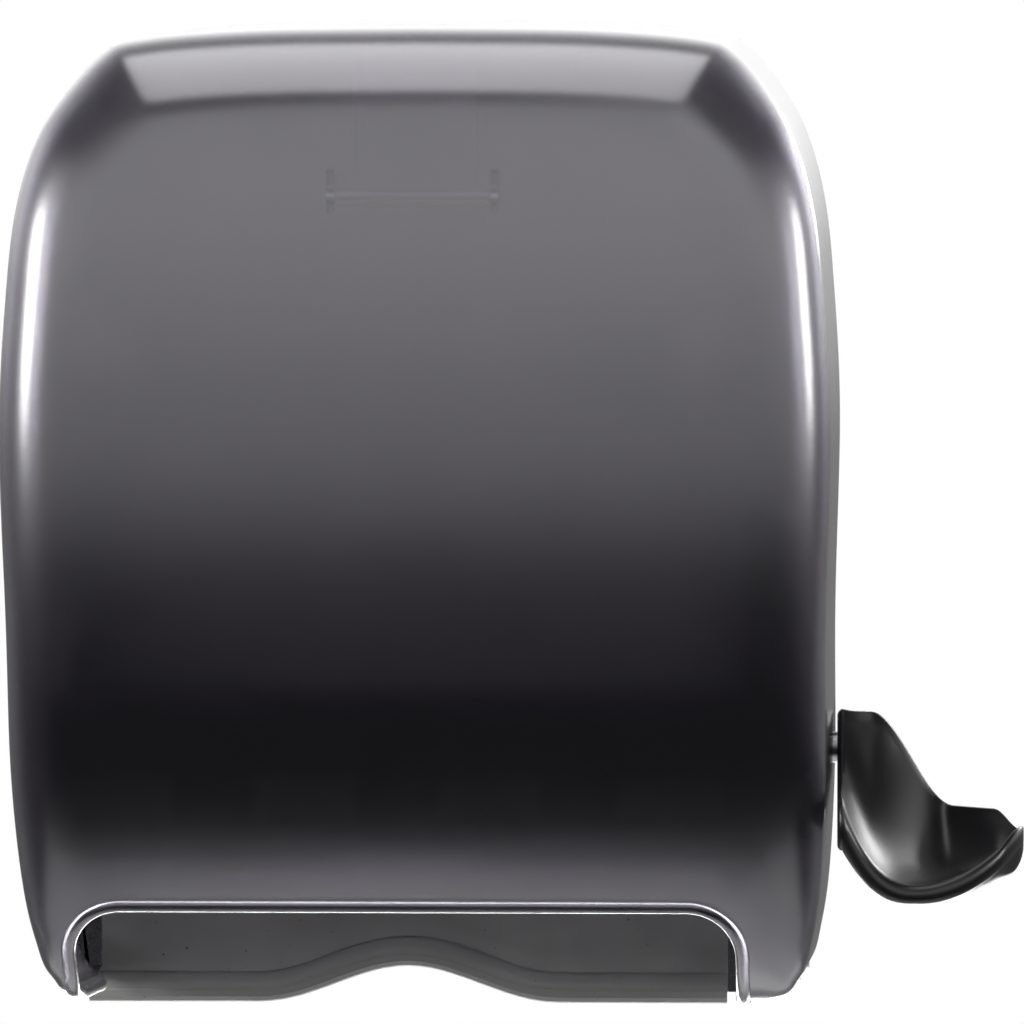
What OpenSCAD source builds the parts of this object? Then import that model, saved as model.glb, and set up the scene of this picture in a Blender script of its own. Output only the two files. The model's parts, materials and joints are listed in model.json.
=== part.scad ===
// Lever dispenser for rolled paper towels, hung on a wall.
// X runs across the front, the wall is the plane y = 0 and the front faces -Y.
// Shapes are drawn from the feet upwards and placed with the wall screws' centre at the origin.

/* [Case] */
// Width of the cover at its fullest
case_w = 260.5; // [257:0.5:266]
// Height from the feet to the crown of the cover
case_h = 320.5; // [318:0.5:328]
// Depth from the wall to the fullest point of the front
case_d = 216; // [213:1:226]
// Wall of the moulded cover
cover_wall = 3; // [2.5:0.25:3.5]
// Gap between the cover and the pan that it closes over
cover_gap = 1.5; // [1.25:0.25:2]
// Distance from the wall to the rear edge of the cover
cover_rear = 4; // [3.5:0.25:5]
// How far each side of the case closes in between the wall and the front
draft = 3.25; // [2:0.25:4]
// How far the crown falls between the wall and the front
crown_fall = 7; // [4:0.5:9]

/* [Mouth] */
// Left side of the mouth, from the middle of the case
mouth_left = 110.5; // [108:0.5:112]
// Right side of the mouth, from the middle of the case
mouth_right = 99.5; // [97:0.5:101]
// Height of the mouth's lip above the feet
mouth_h = 40; // [36:1:42]
// Radius of the mouth's upper corners
mouth_r = 17; // [12:1:20]

/* [Pan] */
// Thickness of the back pan
pan_t = 3; // [2.5:0.25:4]
// Depth of the pan's rim
pan_rim_d = 18; // [16:1:20]
// Thickness of the pan's rim
rim_t = 2.5; // [2:0.25:3]
// Width between the wall screw holes
screw_w = 140; // [120:1:150]
// Height between the wall screw holes
screw_h = 140; // [130:1:150]
// Diameter of the wall screw holes
screw_d = 5.5; // [4.5:0.25:6.5]
// Height of the screw holes' centre above the feet
screw_z = 200; // [195:1:205]
// Rise of the wave in the pan's lower edge
wave_h = 12; // [8:1:16]
// Half the width of that wave
wave_w = 50; // [40:1:55]

/* [Towel roll] */
// Width of the paper roll
roll_w = 203; // [201:1:204]
// Diameter of a full roll
roll_d = 203; // [190:1:203]
// Height of the roll's axis above the feet
roll_z = 206; // [205:0.5:206.5]
// Distance of the roll's axis from the wall
roll_y = 108; // [107:1:109]
// Diameter of the hubs that carry the roll's core
hub_d = 37; // [34:1:39]

/* [Feed] */
// Diameter over the feed roller's rubber sleeves
feed_d = 50; // [48:1:51]
// Width of one rubber sleeve
sleeve_w = 30; // [24:1:34]
// Diameter of the feed shaft
feed_shaft_d = 10; // [8:1:12]
// Diameter of the pinch roller
pinch_d = 16; // [14:1:18]
// Diameter of the pinch roller's shaft
pinch_shaft_d = 5; // [4:0.5:6]
// Thickness of the side frames
frame_t = 3; // [2.5:0.25:3.25]

/* [Lever drive] */
// Gear module
gear_m = 1.25; // [1.2:0.01:1.27]
// Teeth on the clutch pinion
pinion_teeth = 18; // [18:1:18]
// Teeth on a full circle of the sector gear
sector_teeth = 108; // [108:1:108]
// Width of the gears' faces
gear_w = 6; // [5:0.5:7]
// Diameter of the lever shaft
lever_shaft_d = 10; // [9:0.5:11]
// How far the lever swings down
lever_swing = 38; // [30:1:40]
// How far the lever's tip stands out from the middle of the case
lever_reach = 187; // [184:0.5:192]
// Thickness of the lever's dished blade
lever_t = 7; // [6:0.5:8]

/* [Fits] */
// Radial clearance of a running fit
run_fit = 0.08; // [0.04:0.01:0.1]
// Gap between a turning piece and the face beside it
end_gap = 0.3; // [0.2:0.05:0.4]

/* [Hidden] */
$fn = 48;

// Half sizes and the level of the case's middle
half_w = case_w / 2;
half_h = case_h / 2;
// Radii of the case's front corners, across and up
corner_x = 21.5;
corner_z = 24.5;
// Share of the depth at which the front corners start, at the crown and at the sides
corner_start_top = 0.84;
corner_start_side = 0.93;
// How far the front falls back at the feet and at the crown from its fullest level
tuck_low = 86;
tuck_high = 12;
full_level = 200;
// Smooth steps between two key points of the case's outline
outline_steps = 2;

// Right half of the case's outline from the crown to the foot, as offsets that hold its curve
function outline_keys(w, h) = [
    [0, h], [0.4 * w, h - 0.7], [w - 42, h - 3.7], [w - 30, h - 8.6], [w - 17.6, h - 24],
    [w - 10.4, h - 38], [w - 5.1, h - 58], [w - 2.2, h - 84], [w, h - 128], [w - 1.4, 0.4 * h],
    [w - 1.4, 78], [w - 3, 42], [w - 5.7, 22], [w - 9.7, 9], [w - 21, 1], [0.45 * w, 0], [0, 0]
];
function curve(a, b, c, d, s) =
    0.5 * (2 * b + (c - a) * s + (2 * a - 5 * b + 4 * c - d) * s * s + (3 * b - a - 3 * c + d) * s * s * s);
function spline(k, n) = [
    for (i = [0 : len(k) - 2], j = [0 : n - 1])
        curve(k[max(i - 1, 0)], k[i], k[i + 1], k[min(i + 2, len(k) - 1)], j / n)
];
right_half = spline(outline_keys(half_w, case_h), outline_steps);
full_outline = concat(
    right_half,
    [[0, 0]],
    [for (i = [len(right_half) - 1 : -1 : 1]) [-right_half[i][0], right_half[i][1]]]
);
// The outline drawn in by one amount all round
function inset_point(p, ix, iz) = [
    p[0] * (half_w - ix) / half_w,
    half_h + (p[1] - half_h) * (half_h - iz) / half_h
];
function inset_outline(i) = [for (p = full_outline) inset_point(p, i, i)];
// Depth of the front at a height
function front_depth(z) = z > full_level
    ? case_d - tuck_high * pow((z - full_level) / (case_h - full_level), 2)
    : case_d - tuck_low * pow((full_level - z) / full_level, 2.6);
function ease(s) = s <= 0 ? 0 : s >= 1 ? 1 : s * s * (3 - 2 * s);

// The case's surface: straight walls, round corners, then the bulging front
wall_stations = [0, 0.3, 0.6];
corner_turns = [0, 18, 36, 54, 72, 90];
front_stations = [0.18, 0.4, 0.65, 0.85];
rings = len(wall_stations) + len(corner_turns) + len(front_stations);
function case_point(p, k, t) =
    let (
        nw = len(wall_stations),
        nc = len(corner_turns),
        turn = k < nw ? 0 : k < nw + nc ? corner_turns[k - nw] : 90,
        start = corner_start_top
            + (corner_start_side - corner_start_top) * ease((abs(p[0]) / half_w - 0.72) / 0.26),
        share = k < nw ? start * wall_stations[k] : start + (1 - start) * sin(turn),
        in = draft * share + (corner_x - t) * (1 - cos(turn)),
        in_z = crown_fall * share + (corner_z - t) * (1 - cos(turn)),
        shrink = k < nw + nc ? 1 : 1 - front_stations[k - nw - nc],
        q = inset_point(p, t + in, t + in_z),
        x = q[0] * shrink,
        z = half_h + (q[1] - half_h) * shrink
    )
    [x, -cover_rear - (front_depth(z) - t - cover_rear) * share, z];

module case_shell() {
    n = len(full_outline);
    skin = [
        for (t = [0, cover_wall])
            concat(
                [for (k = [0 : rings - 1], j = [0 : n - 1]) case_point(full_outline[j], k, t)],
                [[0, -front_depth(half_h) + t, half_h]]
            )
    ];
    m = len(skin[0]);
    function wall(base, turn) = [
        for (k = [0 : rings - 2], j = [0 : n - 1])
            let (a = base + k * n + j, b = base + k * n + (j + 1) % n)
            each turn ? [[a, b, b + n], [a, b + n, a + n]] : [[a, b + n, b], [a, a + n, b + n]]
    ];
    function cap(base, turn) = [
        for (j = [0 : n - 1])
            let (a = base + (rings - 1) * n + j, b = base + (rings - 1) * n + (j + 1) % n)
            turn ? [a, b, base + m - 1] : [b, a, base + m - 1]
    ];
    rim = [for (j = [0 : n - 1]) let (k = (j + 1) % n) each [[j, m + j, m + k], [j, m + k, k]]];
    polyhedron(
        concat(skin[0], skin[1]),
        concat(wall(0, true), cap(0, true), wall(m, false), cap(m, false), rim)
    );
}

// A flat shape drawn in depth and height, stood up at x and thickened to the right
module side_plate(x, t) {
    translate([x, 0, 0]) rotate([90, 0, 90]) linear_extrude(t) children();
}
// A flat shape drawn in width and height, thickened from y0 at the back towards the front
module front_plate(y0, t) {
    translate([0, -y0, 0]) rotate([90, 0, 0]) linear_extrude(t) children();
}
module x_rod(x0, x1, y, z, d) {
    translate([x0, -y, z]) rotate([0, 90, 0]) cylinder(h = x1 - x0, d = d);
}
// A round bar whose bend is swept along points, as one closed solid
function frame_at(path, i) =
    let (
        a = path[max(i - 1, 0)],
        b = path[min(i + 1, len(path) - 1)],
        d = (b - a) / norm(b - a),
        side = abs(d[0]) < 0.9 ? [1, 0, 0] : [0, 1, 0],
        u = cross(d, side) / norm(cross(d, side))
    )
    [u, cross(d, u)];
module wire(path, d, sides) {
    points = [
        for (i = [0 : len(path) - 1], j = [0 : sides - 1])
            let (f = frame_at(path, i), a = 360 * j / sides)
            path[i] + d / 2 * (cos(a) * f[0] + sin(a) * f[1])
    ];
    last = (len(path) - 1) * sides;
    polyhedron(points, concat(
        [[for (j = [0 : sides - 1]) j]],
        [for (i = [0 : len(path) - 2], j = [0 : sides - 1])
            let (a = i * sides + j, b = i * sides + (j + 1) % sides)
            each [[a, a + sides, b + sides], [a, b + sides, b]]],
        [[for (j = [sides - 1 : -1 : 0]) last + j]]
    ));
}

// Places that several pieces share, as distances from the wall and heights from the feet
pitch_sector = gear_m * sector_teeth / 2;
pitch_pinion = gear_m * pinion_teeth / 2;
gear_centres = pitch_sector + pitch_pinion;
lever_y = 44;
lever_z = 84;
feed_z = 76;
feed_y = lever_y + sqrt(pow(gear_centres, 2) - pow(lever_z - feed_z, 2));
mesh_angle = atan2(feed_z - lever_z, -(feed_y - lever_y));
pinch_reach = feed_d / 2 + pinch_d / 2 + end_gap;
pinch_angle = 20;
pinch_y = feed_y - pinch_reach * cos(pinch_angle);
pinch_z = feed_z - pinch_reach * sin(pinch_angle);
cradle_y = 62;
cradle_z = 98;
hinge_y = 15;
hinge_z = 12;

// The paper's bay lies off centre, because the lever drive takes the right side
bay_side = 3.5;
bay_x = -8;
left_in = bay_x - roll_w / 2 - bay_side;
right_in = bay_x + roll_w / 2 + bay_side;
left_out = left_in - frame_t;
right_out = right_in + frame_t;
pan_inset = cover_wall + cover_gap;

/* Back pan */
ear_t = 3.6;
ear_out = half_w - 12.6;
ear_pin_d = 5;
tab_t = 3;
lip_drop = 8;
catch_half = 17;
strap_z = case_h - 19.5;
crest_z = case_h - 12;
strap_t = 2.5;
rim_top = case_h - pan_inset - rim_t;

// Height of the pan's lower edge, which rises in a wave over the mouth's middle
wave_x = bay_x - 4;
function wave_z(x) = abs(x - wave_x) < wave_w ? wave_h * (1 + cos(180 * (x - wave_x) / wave_w)) / 2 : 0;
wave_steps = 12;
wave_xs = [for (i = [-wave_steps : wave_steps]) wave_x + i * wave_w / wave_steps];
module wave_cut() {
    polygon(concat(
        [for (x = wave_xs) [x, wave_z(x)]],
        [[wave_x + wave_w, -8], [wave_x - wave_w, -8]]
    ));
}
// The plate's foot ends beside the towel bay, and a leg carries the right ear
foot_right = bay_x + roll_w / 2;
leg_w = 5;
// Rolled lip along the lower edge
lip_d = 8;
module rolled_lip() {
    ends = [-ear_out + 0.2, foot_right - 0.2];
    wire([for (x = concat([ends[0]], wave_xs, [ends[1]])) [x, -lip_d / 2 - 0.1, wave_z(x) + 0.5]], lip_d, 12);
}
// Flanges that stand forward from the pan and take the side frames' screws
flange_levels = [76, 140];
module pan_flange(x, z) {
    translate([x, -pan_t - 12, z - 8]) cube([tab_t, 12.01, 16]);
}
module back_pan() color([0.72, 0.72, 0.70]) difference() {
    union() {
        difference() {
            front_plate(0, pan_rim_d) polygon(inset_outline(pan_inset));
            front_plate(-1, pan_rim_d + 2) wave_cut();
            front_plate(pan_t, pan_rim_d) polygon(inset_outline(pan_inset + rim_t));
            // The rim stops at the mouth, where only the plate's foot comes down
            translate([-half_w, -pan_rim_d - 1, -1]) cube([case_w, pan_rim_d + 1 - pan_t, mouth_h + 5]);
            translate([-half_w, -pan_rim_d, -1]) cube([case_w, pan_rim_d + 1, mouth_h]);
        }
        // Foot of the plate, down to the level of the cover's feet
        difference() {
            translate([-ear_out, -pan_t, 0]) cube([2 * ear_out, pan_t, mouth_h]);
            front_plate(-1, pan_t + 2) wave_cut();
            translate([foot_right, -pan_t - 1, -1]) cube([ear_out - leg_w - foot_right, pan_t + 2, mouth_h]);
        }
        for (s = [-1, 1])
            translate([s * (ear_out - ear_t / 2) - ear_t / 2, -hinge_y - 6, hinge_z - 6])
                cube([ear_t, hinge_y + 6, 12]);
        for (z = flange_levels) {
            pan_flange(left_in, z);
            pan_flange(right_in - tab_t, z);
        }
        // Catch lip that hangs from the rim
        translate([-catch_half, -pan_rim_d, rim_top - lip_drop]) cube([2 * catch_half, rim_t, lip_drop + 1]);
        rolled_lip();
        // Lugs of the swinging roll arm
        for (z = [roll_z - arm_base / 2 - lug_t - end_gap, roll_z + arm_base / 2 + end_gap])
            translate([arm_x - 4.5, -arm_pivot_y - 4.5, z]) cube([9, arm_pivot_y + 4.5, lug_t]);
        // Foot of the fixed roll arm
        translate([left_in - 4.5, -pan_t - 9, roll_z - arm_base / 2]) cube([4.5 - end_gap / 3, 9.01, arm_base]);
        // Posts behind the lever bearing plate
        for (z = [post_low, post_high])
            translate([plate_x - 6, -pan_t - 8, z - 4]) cube([6, 8.01, 8]);
    }
    for (x = [-1, 1], z = [-1, 1])
        translate([x * screw_w / 2, 1, screw_z + z * screw_h / 2])
            rotate([90, 0, 0]) cylinder(h = pan_t + 2, d = screw_d);
    x_rod(-half_w, half_w, hinge_y, hinge_z, ear_pin_d);
    translate([arm_x, -arm_pivot_y, roll_z - arm_base]) cylinder(h = 2 * arm_base, d = arm_pin_d);
    for (z = flange_levels)
        x_rod(left_in - 5, right_in + 5, pan_t + 7, z, screw_bore);
    x_rod(plate_x - 7, plate_x + 1, pan_t + 4, post_low, screw_bore);
    x_rod(plate_x - 7, plate_x + 1, pan_t + 4, post_high, screw_bore);
}

/* Side frames */
frame_front = case_d - 60;
frame_screw_d = 3.5;
screw_bore = frame_screw_d + 0.2;
bush_wall = 2;
feed_bush_d = feed_shaft_d + 2 * bush_wall;
lever_bush_d = lever_shaft_d + 2 * bush_wall;
cradle_shaft_d = 5;

frame_low = 44;
module frame_outline() {
    low = frame_low;
    difference() {
        union() {
            polygon([
                [-pan_t, low + 22], [-pan_t, 158], [-24, 158], [-60, 142], [-86, 120], [-feed_y, housing_back],
                [-frame_front + 4, housing_top], [-frame_front, housing_top - 5], [-frame_front + 4, housing_low + 15],
                [-frame_front + 32, low], [-pan_rim_d - 12, low], [-pan_rim_d - 2, low + 22]
            ]);
            translate([-cradle_y, cradle_z]) circle(d = 30);
        }
        translate([-feed_y, feed_z]) circle(d = feed_bush_d);
        translate([-cradle_y, cradle_z]) circle(d = cradle_shaft_d + 2 * run_fit);
        for (z = flange_levels) translate([-pan_t - 7, z]) circle(d = screw_bore);
        for (z = housing_levels) translate([-housing_screw_y, z]) circle(d = screw_bore);
    }
}
housing_levels = [feed_z - 10, feed_z + 18];
housing_screw_y = frame_front - 14;
module left_side_frame() color([0.12, 0.12, 0.13]) side_plate(left_out, frame_t) frame_outline();
module right_side_frame() color([0.12, 0.12, 0.13]) side_plate(right_in, frame_t) difference() {
    frame_outline();
    translate([-lever_y, lever_z]) circle(d = lever_bush_d);
}

/* Roller housing: the black front of the drive, with windows over the sleeves */
housing_t = 2.5;
housing_top = 106;
housing_back = feed_z + feed_d / 2 + 1;
housing_low = 56;
housing_left = -118;
housing_right = 107;
sleeve_pitch = 57;
sleeve_x = [for (i = [-1.5 : 1 : 1.5]) bay_x + i * sleeve_pitch];
window_w = sleeve_w + 1.5;
window_h = 13;

// The housing wraps the frames' front from the crown of the drive to its lower lip
wrap_gap = 0.3;
module housing_section() {
    outer = frame_front + wrap_gap + housing_t;
    inner = frame_front + wrap_gap;
    polygon([
        [-outer + 12, housing_low - housing_t], [-outer + 6, housing_low], [-outer + 1, housing_low + 11],
        [-outer, housing_top - 5], [-outer + 4, housing_top + wrap_gap + housing_t],
        [-feed_y, housing_back + wrap_gap + housing_t], [-feed_y, housing_back + wrap_gap],
        [-inner + 3, housing_top + wrap_gap], [-inner, housing_top - 4], [-inner + 1, housing_low + 11],
        [-inner + 5.5, housing_low + 1], [-inner + 10, housing_low],
        [-feed_y - 16, housing_low], [-feed_y - 16, housing_low - housing_t]
    ]);
}
module roller_housing() color([0.07, 0.07, 0.075]) difference() {
    union() {
        side_plate(housing_left, housing_right - housing_left) housing_section();
        // Tabs inside each end, screwed to the side frames
        for (x = [left_in, right_in - housing_t])
            translate([x + (x < 0 ? end_gap / 3 : -end_gap / 3), -frame_front + 0.5, housing_low + 5])
                cube([housing_t, 20, housing_back - housing_low - 5 + wrap_gap + 2]);
    }
    for (x = sleeve_x)
        translate([x - window_w / 2, -frame_front - 10, feed_z - 7]) cube([window_w, 20, window_h]);
    for (z = housing_levels)
        x_rod(left_in - 2, right_in + 2, housing_screw_y, z, screw_bore);
}

/* Paper guide between the rollers and the mouth */
guide_t = 1.5;
module paper_guide() color([0.16, 0.16, 0.17]) difference() {
    side_plate(left_in, right_in - left_in) polygon([
        [-70, frame_low + 8], [-78, frame_low + 6], [-104, frame_low + 3],
        [-104, frame_low + 3 - guide_t], [-78, frame_low + 6 - guide_t], [-70, frame_low + 8 - guide_t]
    ]);
    // Ribs' gaps over which the paper slides
    for (x = sleeve_x)
        translate([x - 4, -106, frame_low]) cube([8, 16, 8]);
}

/* Serrated tear bar under the housing */
tear_t = 1;
tooth_pitch = 3;
tooth_h = 2.5;
tear_w = roll_w;
tear_y = feed_y + 17;
module tear_bar() color([0.75, 0.76, 0.78]) {
    teeth = floor(tear_w / tooth_pitch);
    low = housing_low - housing_t - 6;
    front_plate(tear_y, tear_t) polygon(concat(
        [[bay_x - teeth * tooth_pitch / 2, low + 6], [bay_x + teeth * tooth_pitch / 2, low + 6]],
        [for (i = [teeth : -1 : 1], e = [0, 1])
            [bay_x + (i - teeth / 2 - e / 2) * tooth_pitch, low + (e == 0 ? tooth_h : 0)]],
        [[bay_x - teeth * tooth_pitch / 2, low + tooth_h]]
    ));
}

/* Feed roller */
clip_t = 1;
clip_d = 1.8 * feed_shaft_d;
bush_flange = 1.2;
gear_stand = 5.5;
clutch_x = right_out + gear_stand + end_gap;
module feed_shaft() color([0.75, 0.76, 0.78]) difference() {
    x_rod(left_out - 2.6, clutch_x + gear_w + 5, feed_y, feed_z, feed_shaft_d);
    for (x = [left_out - 1.6 - clip_t / 2, clutch_x + gear_w + 2.5])
        difference() {
            x_rod(x - clip_t / 2, x + clip_t / 2, feed_y, feed_z, feed_shaft_d + 2);
            x_rod(x - clip_t, x + clip_t, feed_y, feed_z, feed_shaft_d - 2);
        }
}
module feed_sleeves() color([0.55, 0.55, 0.56]) for (x = sleeve_x)
    translate([x, -feed_y, feed_z]) rotate([0, 90, 0]) difference() {
        union() {
            cylinder(h = sleeve_w, d = feed_d, center = true);
            cylinder(h = sleeve_w + 6, d = feed_shaft_d + 8, center = true);
        }
        cylinder(h = sleeve_w + 20, d = feed_shaft_d, center = true);
        // Lightening holes between the spokes
        for (a = [0 : 60 : 300]) rotate([0, 0, a]) translate([feed_d / 3.4, 0, 0])
            cylinder(h = sleeve_w + 2, d = feed_d / 6, center = true);
    }
module flange_bush(x, dir, y, z, shaft, wall, length, flange_d, collar = 0) {
    translate([x, -y, z]) rotate([0, dir * 90, 0]) difference() {
        union() {
            translate([0, 0, -length]) cylinder(h = length, d = shaft + 2 * wall);
            cylinder(h = bush_flange, d = flange_d);
            cylinder(h = max(collar, bush_flange), d = shaft + 2 * wall);
        }
        translate([0, 0, -length - 1]) cylinder(h = length + collar + 3, d = shaft + 2 * run_fit);
    }
}
module feed_bushings() color([0.9, 0.9, 0.86]) {
    flange_bush(left_out, -1, feed_y, feed_z, feed_shaft_d, bush_wall, frame_t, feed_bush_d + 5);
    flange_bush(right_out, 1, feed_y, feed_z, feed_shaft_d, bush_wall, frame_t, feed_bush_d + 5, gear_stand);
}
module feed_clips() color([0.35, 0.35, 0.37]) for (x = [left_out - 1.6 - clip_t / 2, clutch_x + gear_w + 2.5])
    difference() {
        x_rod(x - clip_t / 2, x + clip_t / 2, feed_y, feed_z, clip_d);
        x_rod(x - clip_t, x + clip_t, feed_y, feed_z, feed_shaft_d - 2);
        translate([x - 1, -feed_y - 1.8, feed_z - clip_d]) cube([2, 3.6, clip_d]);
    }

/* Gears with involute flanks */
backlash = 0.35;
pressure = 20;
function involute(base, a) = [
    base * (cos(a) + a * PI / 180 * sin(a)),
    base * (sin(a) - a * PI / 180 * cos(a))
];
function turn2(p, a) = [p[0] * cos(a) - p[1] * sin(a), p[0] * sin(a) + p[1] * cos(a)];
// One tooth about the +X direction, from root to root
function tooth(teeth) =
    let (
        r = gear_m * teeth / 2,
        base = r * cos(pressure),
        tip = r + gear_m,
        low = max(base, r - gear_m),
        a0 = sqrt(pow(low / base, 2) - 1) * 180 / PI,
        a1 = sqrt(pow(tip / base, 2) - 1) * 180 / PI,
        at_pitch = tan(pressure) * 180 / PI - pressure,
        half = 90 / teeth - backlash / 2 / r * 180 / PI + at_pitch,
        flank = [for (i = [0 : 4]) turn2(involute(base, a0 + (a1 - a0) * i / 4), -half)],
        foot = r - 1.25 * gear_m,
        a_foot = atan2(flank[0][1], flank[0][0])
    )
    concat(
        [[foot * cos(a_foot), foot * sin(a_foot)]],
        flank,
        [for (i = [4 : -1 : 0]) [flank[i][0], -flank[i][1]]],
        [[foot * cos(a_foot), -foot * sin(a_foot)]]
    );
function gear_points(teeth, from, to) = [
    for (i = [from : to], p = tooth(teeth)) turn2(p, i * 360 / teeth)
];

// The sector points its middle tooth along mesh_angle when the lever is up
sector_above = 16;
sector_below = 3;
gear_x = clutch_x;
module sector_gear() color([0.10, 0.10, 0.11]) side_plate(gear_x, gear_w) translate([-lever_y, lever_z])
    rotate(mesh_angle) difference() {
        union() {
            polygon(concat(
                gear_points(sector_teeth, -sector_above, sector_below),
                [turn2([11, 0], 75), turn2([13, 0], 150), turn2([11, 0], -150)]
            ));
            circle(d = lever_shaft_d + 14);
        }
        circle(d = lever_shaft_d);
        // Lightening holes
        for (a = [-2, -23, -44]) translate(turn2([41, 0], a)) circle(d = 12);
    }
// The pinion turns a tooth space towards the sector's middle tooth
cage_d = feed_shaft_d + 6;
module clutch_pinion() color([0.85, 0.84, 0.80]) side_plate(clutch_x, gear_w) translate([-feed_y, feed_z])
    rotate(mesh_angle + 180) difference() {
        polygon([for (p = gear_points(pinion_teeth, 0, pinion_teeth - 1)) turn2(p, 180 / pinion_teeth)]);
        circle(d = cage_d);
    }
// One-way cage pressed into the pinion, running on the shaft
module clutch_cage() color([0.6, 0.6, 0.62]) difference() {
    x_rod(clutch_x, clutch_x + gear_w + 0.8, feed_y, feed_z, cage_d);
    x_rod(clutch_x - 1, clutch_x + gear_w + 2, feed_y, feed_z, feed_shaft_d + 2 * run_fit);
}

/* Pinch roller in its sprung cradle */
cradle_arm_t = 2.5;
cradle_left = left_in + 3.5;
cradle_right = right_in - 3.5 - cradle_arm_t;
module cradle_arm() {
    difference() {
        union() {
            translate([-cradle_y, cradle_z]) circle(d = 13);
            translate([-pinch_y, pinch_z]) circle(d = 11);
            polygon([
                [-cradle_y + 6.5, cradle_z], [-cradle_y - 6.5, cradle_z],
                [-pinch_y - 5.5, pinch_z], [-pinch_y + 4, pinch_z - 4]
            ]);
        }
        translate([-cradle_y, cradle_z]) circle(d = cradle_shaft_d + 2 * run_fit);
        translate([-pinch_y, pinch_z]) circle(d = pinch_shaft_d + 2 * run_fit);
    }
}
module pinch_cradle() color([0.13, 0.13, 0.14]) {
    for (x = [cradle_left, cradle_right]) side_plate(x, cradle_arm_t) cradle_arm();
    // Bridge that ties the arms together above the rollers
    translate([cradle_left, -cradle_y - 3.5, cradle_z + 4])
        cube([cradle_right - cradle_left + cradle_arm_t, 7, 3.5]);
}
module pinch_shaft() color([0.75, 0.76, 0.78])
    x_rod(cradle_left - 1.5, cradle_right + cradle_arm_t + 1.5, pinch_y, pinch_z, pinch_shaft_d);
pinch_w = sleeve_w - 6;
module pinch_sleeves() color([0.25, 0.25, 0.26]) for (x = sleeve_x) difference() {
    x_rod(x - pinch_w / 2, x + pinch_w / 2, pinch_y, pinch_z, pinch_d);
    x_rod(x - sleeve_w, x + sleeve_w, pinch_y, pinch_z, pinch_shaft_d);
}
module cradle_shaft() color([0.75, 0.76, 0.78])
    x_rod(left_out - 1.2, right_out + 1.2, cradle_y, cradle_z, cradle_shaft_d);
// Springs between the pan and the cradle's bridge
spring_wire = 1.2;
pinch_spring_d = 6;
module pinch_springs() color([0.6, 0.61, 0.63]) {
    turns = 5;
    per_turn = 12;
    front = cradle_y - 3.5 - spring_wire / 2 - end_gap;
    back = pan_t + spring_wire / 2 + 0.05;
    for (x = [cradle_left + 30, cradle_right - 30])
        wire([
            for (i = [0 : turns * per_turn])
                let (s = i / turns / per_turn, a = 360 * i / per_turn)
                [x + pinch_spring_d / 2 * cos(a), -back - (front - back) * s, cradle_z + 5.75 + pinch_spring_d / 2 * sin(a)]
        ], spring_wire, 6);
}

/* Lever */
plate_x = gear_x + gear_w + 5.5;
plate_t = 2.5;
post_low = 52;
post_high = 112;
hub_x = half_w + 0.4;
arm_w = 8;
boss_d = 26;
lever_socket = 6;
cheek_w = 3;
cheek_rim = 0.8;
module lever_shaft() color([0.75, 0.76, 0.78]) {
    x_rod(right_in - 2, hub_x + lever_socket, lever_y, lever_z, lever_shaft_d);
}
module lever_bushings() color([0.9, 0.9, 0.86]) {
    flange_bush(right_in, -1, lever_y, lever_z, lever_shaft_d, bush_wall, frame_t, lever_bush_d + 4);
    flange_bush(plate_x, -1, lever_y, lever_z, lever_shaft_d, bush_wall, plate_t, lever_bush_d + 4);
}
module lever_bearing_plate() color([0.12, 0.12, 0.13]) side_plate(plate_x, plate_t) difference() {
    union() {
        polygon([
            [-pan_t - 0.1, post_low - 6], [-pan_t - 0.1, post_high + 6], [-18, post_high + 6],
            [-lever_y - 6, lever_z + 13], [-lever_y - 6, lever_z - 13], [-18, post_low - 6]
        ]);
        translate([-lever_y, lever_z]) circle(d = 28);
    }
    translate([-lever_y, lever_z]) circle(d = lever_bush_d);
    for (z = [post_low, post_high]) translate([-pan_t - 4, z]) circle(d = screw_bore);
}
// Torsion spring wound round the lever shaft, between the gear and the bearing plate
coil_d = lever_shaft_d + 7;
module lever_spring() color([0.6, 0.61, 0.63]) {
    turns = 2;
    per_turn = 16;
    x0 = gear_x + gear_w + spring_wire / 2 + 0.3;
    x1 = plate_x - bush_flange - spring_wire / 2 - 0.3;
    wire(concat(
        [for (i = [0 : turns * per_turn])
            let (s = i / turns / per_turn, a = 360 * i / per_turn)
            [x0 + (x1 - x0) * s, -lever_y + coil_d / 2 * cos(a), lever_z + coil_d / 2 * sin(a)]],
        [[x1, -lever_y + coil_d / 2 + 0.5, lever_z + 8], [x1, -pan_t - 1.2, lever_z + 16]]
    ), spring_wire, 6);
}
// Rubber stop on the right frame, which the sector's edge rests against when the lever is up
stop_d = 10;
stop_spot = turn2([20.4, -42.8], mesh_angle);
module lever_stop() color([0.05, 0.05, 0.05])
    x_rod(right_out, gear_x + gear_w, lever_y - stop_spot[0], lever_z + stop_spot[1], stop_d);
module lever_screw() color([0.7, 0.7, 0.72]) {
    x0 = hub_x + lever_socket;
    translate([x0, -lever_y, lever_z]) rotate([0, 90, 0]) {
        cylinder(h = arm_w - lever_socket, d = 4);
        translate([0, 0, arm_w - lever_socket]) cylinder(h = 2.2, d1 = 8, d2 = 6);
    }
}

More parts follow.
